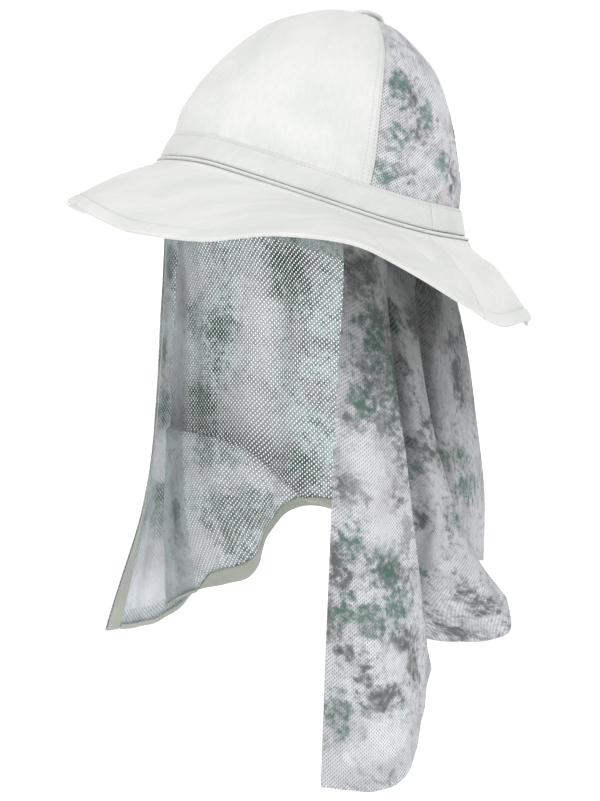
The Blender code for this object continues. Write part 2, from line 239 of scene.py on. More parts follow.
def stitches(name, path, normal, material, pitch=0.0026, fill=0.72, radius=0.00022, lift=0.0001):
    """A row of sewing stitches along a path of points: one small lozenge each."""
    along = np.concatenate([[0], np.cumsum(np.linalg.norm(np.diff(path, axis=0), axis=1))])
    starts = np.arange(0, along[-1] - pitch, pitch)
    def at(s, values):
        return np.stack([np.interp(s, along, values[:, k]) for k in range(3)], -1)
    a, b = at(starts, path), at(starts + pitch * fill, path)
    n = at(starts, normal)
    n /= np.linalg.norm(n, axis=1, keepdims=True)
    side = np.cross(b - a, n)
    side /= np.maximum(np.linalg.norm(side, axis=1, keepdims=True), 1e-12)
    middle = (a + b) / 2 + n * (lift + radius * 0.5)
    ring_points = [middle + side * radius, middle + n * radius, middle - side * radius, middle - n * radius]
    points = np.stack([a + n * lift, b + n * lift, *ring_points], 1)
    one = [(0, 3, 2), (0, 4, 3), (0, 5, 4), (0, 2, 5), (1, 2, 3), (1, 3, 4), (1, 4, 5), (1, 5, 2)]
    faces = (np.arange(len(starts))[:, None, None] * 6 + np.array(one)[None]).reshape(-1, 3)
    return made(name, points, faces, (material,))


def cord_ring(name, path, radius, material, sides=8):
    """Round cord through a closed loop of points."""
    n = len(path)
    tangent = np.roll(path, -1, 0) - np.roll(path, 1, 0)
    tangent /= np.linalg.norm(tangent, axis=1, keepdims=True)
    up = to_world(0.0, 0.0, 1.0)
    side = np.cross(tangent, up)
    side /= np.linalg.norm(side, axis=1, keepdims=True)
    over = np.cross(side, tangent)
    turns = np.linspace(0, 2 * pi, sides, endpoint=False)
    points = path[:, None] + radius * (side[:, None] * np.cos(turns)[None, :, None]
                                       + over[:, None] * np.sin(turns)[None, :, None])
    i, j = np.meshgrid(np.arange(n), np.arange(sides), indexing="ij")
    i2, j2 = (i + 1) % n, (j + 1) % sides
    faces = np.stack([i * sides + j, i * sides + j2, i2 * sides + j2, i2 * sides + j], -1).reshape(-1, 4)
    obj = made(name, points, faces, (material,))
    length = np.arange(n) * 0.004
    uv = np.stack(np.broadcast_arrays(length[:, None], np.arange(sides)[None] * 0.0008), -1).reshape(-1, 2)
    layer = obj.data.uv_layers.new(name="UVMap")
    layer.data.foreach_set("uv", uv[faces.reshape(-1)].astype(np.float32).reshape(-1))
    return obj


# ---------------------------------------------------------------- materials
def srgb(r, g, b):
    """Display colour 0-255 to scene-linear."""
    c = np.array([r, g, b]) / 255
    return tuple(np.where(c <= 0.04045, c / 12.92, ((c + 0.055) / 1.055) ** 2.4)) + (1.0,)


class Nodes:
    """Small helper that adds nodes and links to one material."""

    def __init__(self, name, roughness, sheen=0.0):
        self.material = bpy.data.materials.new(name)
        self.material.use_nodes = True
        self.tree = self.material.node_tree
        self.shader = self.tree.nodes["Principled BSDF"]
        self.shader.inputs["Roughness"].default_value = roughness
        self.shader.inputs["Specular IOR Level"].default_value = 0.2
        self.shader.inputs["Sheen Weight"].default_value = sheen
        self.shader.inputs["Sheen Roughness"].default_value = 0.5

    def put(self, node, socket, value):
        if isinstance(value, bpy.types.NodeSocket):
            self.tree.links.new(value, node.inputs[socket])
        elif value is not None:
            node.inputs[socket].default_value = value

    def math(self, operation, a, b=None, c=None):
        node = self.tree.nodes.new("ShaderNodeMath")
        node.operation = operation
        for socket, value in enumerate((a, b, c)):
            self.put(node, socket, value)
        return node.outputs[0]

    def uv(self):
        return self.tree.nodes.new("ShaderNodeTexCoord").outputs["UV"]

    def moved(self, vector, offset=(0, 0, 0), scale=(1, 1, 1), turn=0.0):
        node = self.tree.nodes.new("ShaderNodeMapping")
        self.put(node, "Vector", vector)
        node.inputs["Location"].default_value = offset
        node.inputs["Scale"].default_value = scale
        node.inputs["Rotation"].default_value = (0, 0, turn)
        return node.outputs[0]

    def noise(self, vector, scale, detail=2.0, rough=0.5, distortion=0.0):
        node = self.tree.nodes.new("ShaderNodeTexNoise")
        node.noise_dimensions = "2D"
        self.put(node, "Vector", vector)
        node.inputs["Scale"].default_value = scale
        node.inputs["Detail"].default_value = detail
        node.inputs["Roughness"].default_value = rough
        node.inputs["Distortion"].default_value = distortion
        return node.outputs["Fac"]

    def ramp(self, value, low, high):
        """0 below low, 1 above high, smooth between."""
        node = self.tree.nodes.new("ShaderNodeMapRange")
        node.interpolation_type = "SMOOTHSTEP"
        self.put(node, "Value", value)
        node.inputs["From Min"].default_value = low
        node.inputs["From Max"].default_value = high
        return node.outputs[0]

    def mix(self, factor, a, b, kind="MIX"):
        node = self.tree.nodes.new("ShaderNodeMix")
        node.data_type = "RGBA"
        node.blend_type = kind
        self.put(node, "Factor", factor)
        self.put(node, 6, a)
        self.put(node, 7, b)
        return node.outputs[2]

    def split(self, vector):
        node = self.tree.nodes.new("ShaderNodeSeparateXYZ")
        self.put(node, 0, vector)
        return node.outputs[0], node.outputs[1]

    def bump(self, height, distance, strength=1.0, normal=None):
        node = self.tree.nodes.new("ShaderNodeBump")
        self.put(node, "Height", height)
        node.inputs["Distance"].default_value = distance
        node.inputs["Strength"].default_value = strength
        self.put(node, "Normal", normal)
        return node.outputs[0]

    def attribute(self, name):
        node = self.tree.nodes.new("ShaderNodeAttribute")
        node.attribute_name = name
        return node.outputs["Fac"]

    def let_light_through(self, colour, share, alpha):
        """Thin cloth: a share of the light goes through it, and all of it where alpha is 0."""
        behind = self.tree.nodes.new("ShaderNodeBsdfTranslucent")
        self.put(behind, "Color", colour)
        clear = self.tree.nodes.new("ShaderNodeBsdfTransparent")
        thin = self.tree.nodes.new("ShaderNodeMixShader")
        holed = self.tree.nodes.new("ShaderNodeMixShader")
        self.put(thin, 0, share)
        self.tree.links.new(self.shader.outputs[0], thin.inputs[1])
        self.tree.links.new(behind.outputs[0], thin.inputs[2])
        self.put(holed, 0, alpha)
        self.tree.links.new(clear.outputs[0], holed.inputs[1])
        self.tree.links.new(thin.outputs[0], holed.inputs[2])
        self.tree.links.new(holed.outputs[0], self.tree.nodes["Material Output"].inputs["Surface"])


def weave(nodes, vector, pitch):
    """Height of a plain weave with this thread pitch."""
    x, y = nodes.split(vector)
    warp = nodes.math("SINE", nodes.math("MULTIPLY", x, 2 * pi / pitch))
    weft = nodes.math("SINE", nodes.math("MULTIPLY", y, 2 * pi / pitch))
    return nodes.math("MULTIPLY_ADD", nodes.math("MULTIPLY", warp, weft), 0.5, 0.5)


def woven_cloth(name, light, dark, roughness=0.85, pitch=0.0007, seed=0.0):
    """Plain woven cloth with soft rumples and a little unevenness in its colour."""
    n = Nodes(name, roughness, 0.25)
    uv = n.moved(n.uv(), (seed, seed * 0.7, 0))
    patch = n.ramp(n.noise(uv, 28, 3, 0.55), 0.3, 0.75)
    threads = n.noise(n.moved(uv, scale=(1, 0.12, 1)), 900, 1)
    colour = n.mix(patch, light, dark)
    colour = n.mix(n.math("MULTIPLY", threads, 0.14), colour, srgb(150, 152, 148), "MULTIPLY")
    n.put(n.shader, "Base Color", colour)
    rumple = n.bump(n.noise(uv, 55, 3, 0.5), 0.0022, 0.35)
    n.put(n.shader, "Normal", n.bump(weave(n, uv, pitch), 0.00012, 0.5, rumple))
    return n.material


PITCH_X, PITCH_Y = 0.00155, 0.0034     # knitted mesh: columns of holes, and holes along a column
HOLE_X, HOLE_Y = 0.00035, 0.00072      # half sizes of a hole
NEAR_SCALE, CROWN_SCALE = 0.72, 0.7    # the finer mesh of the near side and of the crown
CHARCOAL, CHARCOAL_RIM = (64, 72, 72), (152, 152, 152)
GREEN, GREEN_RIM = (72, 122, 104), (140, 158, 151)
DARK_COVER, GREEN_COVER = 0.82, 0.80
DARK_SEED, GREEN_SEED = 4.4, 0.0
INSIDE_BASE = (226, 238, 236)          # the mesh's paler inner face


def hole_distance(n, uv, scale):
    """1 on the rim of the nearest hole, less inside it, more outside; columns are staggered."""
    x, y = n.split(n.moved(uv, scale=(1 / scale, 1 / scale, 1)))
    found = []
    for column, row in ((0.0, 0.0), (1.0, 0.5)):
        px = n.math("FRACT", n.math("MULTIPLY_ADD", x, 0.5 / PITCH_X, column / 2 + 100.5))
        py = n.math("FRACT", n.math("MULTIPLY_ADD", y, 1 / PITCH_Y, row + 100.5))
        dx = n.math("MULTIPLY", n.math("SUBTRACT", px, 0.5), 2 * PITCH_X / HOLE_X)
        dy = n.math("MULTIPLY", n.math("SUBTRACT", py, 0.5), PITCH_Y / HOLE_Y)
        found.append(n.math("SQRT", n.math("ADD", n.math("MULTIPLY", dx, dx), n.math("MULTIPLY", dy, dy))))
    return n.math("MINIMUM", found[0], found[1])


def printed_mesh(name, seed, strength=1.0, base=(246, 246, 251), through=0.3, scale=1.0, dark_share=1.0):
    """Knitted mesh with a tie-dye print: charcoal and green where the sheet's dye attributes put them."""
    n = Nodes(name, 0.8, 0.1)
    uv = n.uv()
    cloth_uv = n.moved(uv, (seed, seed * 1.7, 0))
    speckle = n.noise(n.moved(cloth_uv, (5.3, 2.6, 0)), 210, 8, 0.75)
    blotch = n.noise(n.moved(cloth_uv, (1.9, 9.3, 0)), 32, 6, 0.62)
    greyed = n.math("MULTIPLY", n.ramp(blotch, 0.46, 0.66), 0.45)
    colour = n.mix(greyed, srgb(*base), srgb(188, 184, 188))
    pink = n.ramp(n.noise(n.moved(cloth_uv, (3.1, 1.2, 0)), 26, 4, 0.55), 0.52, 0.72)
    colour = n.mix(n.math("MULTIPLY", pink, 0.35 * strength), colour, srgb(205, 188, 186))
    grain = n.math("MULTIPLY_ADD", speckle, 3.2, -1.6)
    for dye, tone, rim, cover, seeded in (
            ("dye_dark", CHARCOAL, CHARCOAL_RIM, DARK_COVER * dark_share, DARK_SEED),
            ("dye_green", GREEN, GREEN_RIM, GREEN_COVER, GREEN_SEED)):
        cloud = n.noise(n.moved(cloth_uv, (seeded, seeded, 0)), 48, 7, 0.7)
        steered = n.math("MULTIPLY_ADD", n.attribute(dye), 0.95, n.math(
            "ADD", n.math("MULTIPLY_ADD", cloud, 2.0, -1.17), grain))
        halo = n.math("MULTIPLY", n.ramp(steered, -0.35, 0.6), 0.40 * strength)
        colour = n.mix(halo, colour, srgb(*rim))
        colour = n.mix(n.math("MULTIPLY", n.ramp(steered, 0.12, 1.1), cover * strength), colour, srgb(*tone))
    # Paler print patches, and painted light on the curtain's lower tier below the long fold.
    colour = n.mix(n.math("MULTIPLY", n.attribute("pale_and_painted_light"), 0.7), colour, srgb(247, 247, 251))
    # Painted shade: where the sheet's shade attribute is set, the colour is greyed. This stands in for shade
    # under the brim, in the pleats and along the long fold.
    colour = n.mix(n.attribute("painted_shade"), colour, n.mix(1.0, colour, srgb(122, 122, 120), "MULTIPLY"))
    distance = hole_distance(n, uv, scale)
    # Painted shade: the cloth round each hole, and the closed holes where lined, are darkened. This stands in
    # for the shade in the knit's hollows.
    colour = n.mix(n.math("MULTIPLY", n.ramp(distance, 1.5, 0.8), 0.72), colour, srgb(138, 142, 146))
    n.put(n.shader, "Base Color", colour)
    n.put(n.shader, "Normal", n.bump(n.ramp(distance, 0.9, 2.1), 0.0003, 0.5))
    solid = n.math("MAXIMUM", n.ramp(distance, 0.92, 1.08), n.attribute("lined"))
    n.let_light_through(colour, through, solid)
    return n.material


cloth_white = woven_cloth("woven_cloth", srgb(247, 248, 245), srgb(238, 240, 236))
band_white = woven_cloth("band_cloth", srgb(240, 241, 239), srgb(230, 232, 229), seed=3.1)
lining = woven_cloth("brim_lining", srgb(196, 200, 190), srgb(182, 187, 176), seed=1.3)
facing_cloth = woven_cloth("veil_facing", srgb(190, 194, 184), srgb(176, 181, 170), seed=2.2)
sweat_knit = woven_cloth("sweatband_knit", srgb(205, 208, 203), srgb(190, 194, 188), 0.9, 0.0011, 4.4)
thread = woven_cloth("sewing_thread", srgb(226, 227, 224), srgb(214, 216, 212), 0.6, 0.0004)
mesh_left = printed_mesh("printed_mesh_left", 0.0, scale=NEAR_SCALE)
mesh_curtain = printed_mesh("printed_mesh_curtain", 1.37)
mesh_right = printed_mesh("printed_mesh_right", 2.71)
mesh_crown = printed_mesh("printed_mesh_crown", 5.1, through=0.1, scale=CROWN_SCALE)
mesh_near = printed_mesh("printed_mesh_near", 1.37, scale=NEAR_SCALE)
mesh_inside = printed_mesh("printed_mesh_inside", 1.37, 0.62, INSIDE_BASE, 0.68, dark_share=0.30)
mesh_lining = printed_mesh("printed_mesh_lining", 5.1, 0.6, (228, 238, 236), 0.1, scale=0.6)


def ridden(obj, body, slot_name, *nodes):
    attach(obj, body)
    if nodes:
        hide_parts(*nodes)
    return obj


def spaced(a, b, n):
    return np.linspace(a, b, n)


# ---------------------------------------------------------------- crown
def crown_cloth(azimuth, f):
    """Crown with its soft dents, the gathers over the band and the raised seams."""
    base = crown(azimuth, f)
    a = wrap(azimuth)
    turn = np.radians(a)
    gathers = np.sin(turn * 26 + 2.0 * np.sin(turn * 7)) * bump(f, 0.16, 0.07) * 0.0005
    dents = noise_at(base, 24.0, 3.0) * 0.0009 * smooth(f, 0.12, 0.3) * smooth(f, 1.0, 0.8)
    folds = (bump(np.abs(a), 77, 4.0) * 0.0016 + bump(np.abs(a), 101, 5.0) * 0.0014
             - bump(np.abs(a), 88, 6.0) * 0.0008) * smooth(f, 0.15, 0.3) * smooth(f, 0.97, 0.7)
    return crown(azimuth, f, 0.0013 * smooth(f, 0.15, 0.3) + gathers + dents + folds)


def build_crown():
    """Woven front panel, three mesh panels, the stitches along the front's seams, and the seam tapes."""
    levels = np.concatenate([spaced(0.06, 0.9, 70), spaced(0.91, 0.992, 16)])
    woven, mesh = (cloth_white, cloth_white), (mesh_crown, mesh_lining)
    panels = [("crown_front", -SEAM, SEAM, 150, woven, "woven_cloth", SEAM_PROUD),
              ("crown_mesh_left", SEAM, BACK_SEAM, 66, mesh, "printed_mesh", 0.0),
              ("crown_mesh_back", BACK_SEAM, 360 - BACK_SEAM, 130, mesh, "printed_mesh", 0.0),
              ("crown_mesh_right", 360 - BACK_SEAM, 360 - SEAM, 66, mesh, "printed_mesh", 0.0)]
    for name, start, end, columns, materials, slot_name, proud in panels:
        azimuth, f = np.meshgrid(spaced(start, end, columns), levels, indexing="ij")
        grid = crown_cloth(azimuth, f)
        edge = np.minimum(azimuth - start, end - azimuth)
        grid = grid + normals_of(grid) * (proud - 0.0007 * bump(edge, 0, 1.2))[..., None]
        middle = keyed(CROWN_PROFILE, 0.3) * HALF_WIDTH
        uv = np.stack([np.radians(azimuth) * middle, f * 0.15], -1)
        dyes = None if proud else dyed(uv, CROWN_GREEN, CROWN_DARK, CROWN_PALE, lined=0.5)
        obj = cloth(name, grid, WOVEN if proud else MESH, materials, uv=uv, dyes=dyes)
        ridden(obj, "hat", slot_name, name)
    for side in (-1, 1):
        for k, inset in enumerate((1.6, 4.2)):
            f = spaced(0.17, 0.93, 120)
            path = crown_cloth(side * (SEAM - inset) + 0 * f, f)
            normal = path - to_world(0.0, 0.0, CROWN_HEIGHT * 0.4)
            hand = "right" if side < 0 else "left"
            row = stitches(f"crown_stitches_{hand}_{k}", path, normal, thread, lift=0.0007)
            ridden(row, "hat", "woven_cloth")
    for name, azimuth in (("left", SEAM), ("rear_left", BACK_SEAM), ("rear_right", 360 - BACK_SEAM),
                          ("right", 360 - SEAM)):
        u, f = np.meshgrid(spaced(-1, 1, 7), spaced(0.22, 0.93, 60), indexing="ij")
        half = 0.0045 / (HALF_WIDTH * keyed(CROWN_PROFILE, f)) * 180 / pi
        grid = crown(azimuth + half * u, f, -0.0018 - 0.0004 * u * u)
        obj = cloth(f"seam_tape_{name}", grid, TAPE, (facing_cloth, facing_cloth))
        ridden(obj, "hat", "veil_facing", f"seam_tape_{name}")


def build_top_loop():
    """Folded self-fabric tab that lies over the apex, running front to back."""
    centre = crown(0.0, 0.999)
    forward, up = to_world(0.0, -1.0, 0.0), to_world(0.0, 0.0, 1.0)
    profile = [(0, (0.0105, 0.0004, 0.0022)), (0.22, (0.004, 0.0030, 0.0032)),
               (0.5, (-0.003, 0.0042, 0.0038)), (0.78, (-0.0095, 0.0038, 0.0044)),
               (1, (-0.0135, 0.0012, 0.0040))]      # along it, height and half width
    u, v = np.meshgrid(spaced(-1, 1, 15), spaced(0, 1, 40), indexing="ij")
    along, height, half = np.moveaxis(keyed(profile, v), -1, 0)
    height = height - 0.0010 * u * u
    sideways = np.array([1.0, 0, 0])
    grid = centre + along[..., None] * forward + height[..., None] * up + (half * u)[..., None] * sideways
    obj = cloth("top_loop", grid, LOOP_PLY, (cloth_white, cloth_white))
    ridden(obj, "hat", "woven_cloth", "top_loop")


# ---------------------------------------------------------------- band
BAND_STITCHES = 0.87                           # height of the stitches, as a share of the band
SWEATBAND_LOW, SWEATBAND_HEIGHT = 0.0003, 0.0237
PIPING_LEVEL, PIPING_OUT, PIPING_RADIUS = 0.0016, 0.0002, 0.0010


def band_surface(azimuth, v):
    """Band that lies flat on the crown, with a shallow puff between its two seams."""
    z = BAND_LOW + (BAND_HIGH - BAND_LOW) * v
    ripple = noise_at(crown(azimuth, z / CROWN_HEIGHT), 70.0, 8.0) * 0.0003
    puff = 0.0005 * np.sin(pi * np.clip(v, 0, 1)) - 0.0004 * bump(v, BAND_STITCHES, 0.05)
    return crown(azimuth, z / CROWN_HEIGHT, 0.0027 - 0.0009 * v + puff + ripple)


def build_band():
    """The band's two halves with their stitches, the piping at the brim's root, and the sweatband."""
    halves = (("band_front", -BAND_SPLIT, BAND_SPLIT), ("band_back", BAND_SPLIT, 360 - BAND_SPLIT))
    vs = np.concatenate([[0.0, 0.03, 0.07], spaced(0.12, 0.88, 14), [0.93, 0.97, 1.0]])
    for name, start, end in halves:
        azimuth, v = np.meshgrid(spaced(start, end, 260), vs, indexing="ij")
        grid = band_surface(azimuth, v)
        edge = np.minimum(azimuth - start, end - azimuth)
        roll = 0.0008 * (bump(v, 0.0, 0.05) + bump(v, 1.0, 0.05)) + 0.0006 * bump(edge, 0, 0.7)
        grid = grid - normals_of(grid) * roll[..., None]
        obj = cloth(name, grid, BAND_PLY, (band_white, band_white))
        ridden(obj, "hat", "woven_cloth", name)
    azimuth = spaced(0, 360, 721)
    path = band_surface(azimuth, BAND_STITCHES + 0 * azimuth)
    normal = path - to_world(0.0, 0.0, 0.01)
    ridden(stitches("band_stitches_0", path, normal, thread), "hat", "woven_cloth")
    ring_azimuth = spaced(0, 360, 241)[:-1]
    path = ring(ring_azimuth, PIPING_LEVEL, PIPING_OUT)
    piping = cord_ring("brim_piping", path, PIPING_RADIUS, cloth_white)
    ridden(piping, "hat", "woven_cloth", "brim_piping")
    azimuth, v = np.meshgrid(ring_azimuth, spaced(0, 1, 12), indexing="ij")
    z = SWEATBAND_LOW + SWEATBAND_HEIGHT * v
    grid = crown(azimuth, z / CROWN_HEIGHT, -0.0020)
    obj = cloth("sweatband", grid, BAND_PLY, (sweat_knit, sweat_knit), closed=True)
    ridden(obj, "hat", "sweatband_knit", "sweatband")


# ---------------------------------------------------------------- brim
def brim_cloth(azimuth, q):
    """Brim with the slow waves and creases of soft cloth."""
    a = wrap(azimuth)
    creases = (0.0034 * bump(a, 73 + 14 * q, 2.2) - 0.0016 * bump(a, 82 + 10 * q, 4.0)
               + 0.0014 * bump(a, 60, 3.0) - 0.0012 * bump(a, 46, 5.0))
    base = brim(azimuth, q)
    rumple = noise_at(base, 75.0, 4.0) * 0.0016 * bump(a, 90, 26) * smooth(q, 0.05, 0.3)
    wave = (creases * smooth(q, 0.05, 0.35) * smooth(q, 0.95, 0.6)
            - 0.0034 * bump(a, 107, 13) * bump(q, 0.5, 0.25)
            + rumple * smooth(q, 0.95, 0.75)
            + (0.0018 * bump(a, 134, 7) - 0.0014 * bump(a, 150, 9)) * smooth(q, 0.1, 1.0))
    soft = noise_at(base, 22.0, 6.0) * 0.0012 * smooth(q, 0, 0.5)
    return brim(azimuth, q, wave + soft)


HEM = 0.895                                    # where the hem strip starts, from the root 0 to the edge 1
HEM_STITCHES = (HEM + 0.018, 0.965)
BRIM_UP, BRIM_DOWN = 0.0011, 0.0009            # the outer cloth and the lining, from the brim's middle
FOLD_START, FOLD_END = 0.098, 0.130            # where a half of the brim would bend to fold up; the points made from them are not used


def build_brim():
    """Each half of the brim: outer cloth, lining, hem strip and two rows of stitches."""
    qs = np.concatenate([spaced(0.0, 0.84, 46), spaced(0.855, 1.0, 24)])
    for half, start, end in (("front", -90, 90), ("back", 90, 270)):
        step = (end - start) / 260
        azimuth, q = np.meshgrid(spaced(start - step, end + step, 263), qs, indexing="ij")
        grid = brim_cloth(azimuth, q)
        normal = -normals_of(grid)[1:-1]
        grid, q = grid[1:-1], q[1:-1]
        groove = 0.0005 * bump(q, HEM - 0.008, 0.008)
        strip_lift = 0.0006 * smooth(q, HEM - 0.004, HEM + 0.004)
        roll = 0.0013 * smooth(q, 0.97, 1.0) ** 2
        root = 0.0014 * smooth(q, 0.09, 0.0)
        top = grid + normal * (BRIM_UP + root + strip_lift - groove - roll)[..., None]
        under = grid - normal * (BRIM_DOWN - 0.7 * roll)[..., None]
        inner = q[0] < HEM
        pieces = [cloth(f"brim_{half}_cloth", top, BRIM_PLY, (cloth_white, cloth_white), outward=-1),
                  cloth(f"brim_{half}_lining", under[:, inner], BRIM_PLY, (lining, lining)),
                  cloth(f"brim_{half}_hem", under[:, ~inner], BRIM_PLY, (cloth_white, cloth_white))]
        path_azimuth = spaced(start, end, 500)
        for k, level in enumerate(HEM_STITCHES):
            path = brim_cloth(path_azimuth, level + 0 * path_azimuth)
            lifted = to_world(0.0, 0.0, 1.0) + 0 * path
            row = stitches(f"brim_{half}_stitches_{k}", path + lifted * 0.0017, lifted, thread)
            pieces.append(row)
        sides = ("front", "left", "right") if half == "front" else ("back",)
        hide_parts(*[f"brim_{side}_top" for side in sides])
        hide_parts(*[f"brim_{side}_under" for side in sides])
        sign = -1 if half == "front" else 1
        fold_start = to_world(0.0, sign * FOLD_START, -0.002)
        fold_end = to_world(0.0, sign * FOLD_END, -0.002)
        slots = ("woven_cloth", "brim_lining", "woven_cloth", "woven_cloth", "woven_cloth")
        for piece, slot_name in zip(pieces, slots):
            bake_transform(piece)


# ---------------------------------------------------------------- veil
# Each rib hangs from the sewn edge at its azimuth: points from the top down to the hem.
LEFT_TAIL = [
    (53, [(0.070, -0.056, -0.015), (0.071, -0.063, -0.097), (0.071, -0.070, -0.219),
          (0.070, -0.074, -0.340)]),
    (64, [(0.080, -0.048, -0.020), (0.086, -0.053, -0.096), (0.090, -0.052, -0.220),
          (0.091, -0.048, -0.345)]),
    (70, [(0.085, -0.041, -0.030), (0.091, -0.041, -0.098), (0.095, -0.035, -0.198),
          (0.098, -0.024, -0.336)]),
    (75, [(0.085, -0.035, -0.039), (0.091, -0.032, -0.100), (0.096, -0.019, -0.198),
          (0.097, -0.005, -0.277)]),
]
CURTAIN = [
    (66, [(0.073, -0.032, -0.042), (0.076, -0.029, -0.105), (0.079, -0.019, -0.201),
          (0.083, -0.004, -0.261)]),
    (80, [(0.077, -0.018, -0.044), (0.086, -0.015, -0.106), (0.093, -0.003, -0.183), (0.097, 0.019, -0.268)]),
    (92, [(0.077, -0.004, -0.047), (0.087, -0.003, -0.107), (0.094, 0.009, -0.168), (0.102, 0.029, -0.228),
          (0.107, 0.048, -0.272)]),
    (96, [(0.074, 0.004, -0.047), (0.084, 0.004, -0.107), (0.091, 0.017, -0.168), (0.101, 0.038, -0.224),
          (0.109, 0.058, -0.266)]),
    (100, [(0.066, 0.008, -0.050), (0.072, 0.010, -0.110), (0.080, 0.022, -0.168), (0.092, 0.043, -0.220),
           (0.098, 0.064, -0.250)]),
    (105, [(0.066, 0.016, -0.052), (0.069, 0.019, -0.114), (0.077, 0.029, -0.172), (0.083, 0.052, -0.250)]),
    (114, [(0.069, 0.028, -0.056), (0.072, 0.031, -0.118), (0.079, 0.040, -0.177), (0.083, 0.061, -0.249)]),
    (132, [(0.055, 0.063, -0.079), (0.060, 0.066, -0.132), (0.066, 0.070, -0.190), (0.069, 0.075, -0.240)]),
    (156, [(0.037, 0.096, -0.096), (0.041, 0.103, -0.146), (0.045, 0.109, -0.207), (0.045, 0.108, -0.253)]),
    (180, [(-0.002, 0.103, -0.104), (-0.004, 0.113, -0.160), (-0.002, 0.121, -0.209),
           (-0.001, 0.123, -0.251)]),
    (204, [(-0.042, 0.098, -0.097), (-0.048, 0.104, -0.160), (-0.049, 0.106, -0.202),
           (-0.051, 0.107, -0.246)]),
    (228, [(-0.070, 0.072, -0.090), (-0.076, 0.077, -0.152), (-0.079, 0.079, -0.195),
           (-0.085, 0.082, -0.244)]),
    (240, [(-0.078, 0.053, -0.084), (-0.084, 0.058, -0.149), (-0.089, 0.062, -0.204),
           (-0.098, 0.066, -0.263)]),
    (252, [(-0.085, 0.033, -0.078), (-0.092, 0.038, -0.146), (-0.098, 0.044, -0.213),
           (-0.107, 0.058, -0.292)]),
    (274, [(-0.088, -0.006, -0.069), (-0.094, -0.002, -0.150), (-0.102, 0.004, -0.221),
           (-0.110, 0.012, -0.288)]),
    (294, [(-0.081, -0.037, -0.055), (-0.085, -0.038, -0.139), (-0.091, -0.037, -0.207),
           (-0.099, -0.033, -0.282)]),
]
RIGHT_TAIL = [
    (307, [(-0.074, -0.055, -0.048), (-0.082, -0.056, -0.133), (-0.096, -0.055, -0.209),
           (-0.127, -0.059, -0.298)]),
    (296, [(-0.089, -0.039, -0.055), (-0.098, -0.035, -0.143), (-0.110, -0.029, -0.221),
           (-0.133, -0.021, -0.308)]),
    (291, [(-0.094, -0.027, -0.059), (-0.103, -0.019, -0.147), (-0.116, -0.011, -0.227),
           (-0.131, 0.004, -0.307)]),
    (285, [(-0.096, -0.015, -0.062), (-0.107, -0.006, -0.152), (-0.119, 0.008, -0.233),
           (-0.129, 0.028, -0.296)]),
]
LEVELS = {5: (0.0, 0.16, 0.42, 0.74, 1.0), 6: (0.0, 0.16, 0.42, 0.74, 0.9, 1.0)}
# Height of the long fold in the curtain, by azimuth.
LAP = [(212, -0.250), (218, -0.2415), (224, -0.238), (231, -0.225), (241, -0.204), (254, -0.187),
       (271, -0.173), (287, -0.162), (300, -0.154)]
TAIL_COLUMNS, TAIL_ROWS = 70, 260
CURTAIN_COLUMNS, CURTAIN_ROWS = 420, 220


# Dye patches of each panel, in metres of its cloth: across, down, half width, half height.
LEFT_DARK = [(0.006, 0.080, 0.014, 0.045), (0.022, 0.100, 0.008, 0.060),
             (-0.011, 0.118, 0.006, 0.006), (0.009, 0.120, 0.008, 0.006),
             (-0.015, 0.160, 0.010, 0.010), (0.019, 0.163, 0.005, 0.005), (-0.025, 0.210, 0.009, 0.017),
             (0.012, 0.208, 0.022, 0.011), (0.026, 0.254, 0.018, 0.008), (0.036, 0.275, 0.014, 0.012),
             (-0.023, 0.262, 0.005, 0.006), (-0.010, 0.275, 0.005, 0.008), (0.004, 0.290, 0.018, 0.009),
             (-0.034, 0.245, 0.005, 0.020), (0.030, 0.185, 0.006, 0.012), (-0.012, 0.030, 0.022, 0.016)]
LEFT_GREEN = [(-0.006, 0.105, 0.007, 0.010), (0.018, 0.080, 0.007, 0.030),
              (0.003, 0.066, 0.007, 0.018), (-0.006, 0.241, 0.010, 0.012),
              (0.018, 0.228, 0.014, 0.014), (-0.027, 0.307, 0.009, 0.018), (0.004, 0.342, 0.006, 0.004),
              (-0.016, 0.195, 0.006, 0.010), (-0.022, 0.236, 0.006, 0.014), (0.012, 0.205, 0.016, 0.012)]
LEFT_PALE = [(0.000, 0.145, 0.016, 0.022), (0.014, 0.182, 0.018, 0.014), (0.005, 0.322, 0.022, 0.018),
             (-0.025, 0.335, 0.010, 0.012), (0.014, 0.268, 0.010, 0.010)]
CURTAIN_DARK = [(-0.189, 0.047, 0.008, 0.009), (-0.193, 0.081, 0.006, 0.006), (-0.186, 0.099, 0.005, 0.004),
                (-0.187, 0.132, 0.016, 0.007), (-0.180, 0.113, 0.006, 0.006), (-0.201, 0.180, 0.008, 0.008),
                (-0.175, 0.182, 0.004, 0.012), (-0.210, 0.245, 0.008, 0.012), (-0.200, 0.262, 0.014, 0.006),
                (-0.172, 0.236, 0.008, 0.016), (-0.163, 0.245, 0.006, 0.008), (-0.135, 0.034, 0.020, 0.014),
                (-0.170, 0.050, 0.014, 0.009), (-0.092, 0.088, 0.016, 0.016), (-0.100, 0.064, 0.022, 0.007),
                (0.206, 0.233, 0.006, 0.009), (0.164, 0.250, 0.006, 0.007), (0.089, 0.040, 0.014, 0.016),
                (-0.050, 0.110, 0.016, 0.012), (-0.020, 0.060, 0.012, 0.016), (0.030, 0.150, 0.016, 0.012),
                (-0.035, 0.185, 0.014, 0.014)]
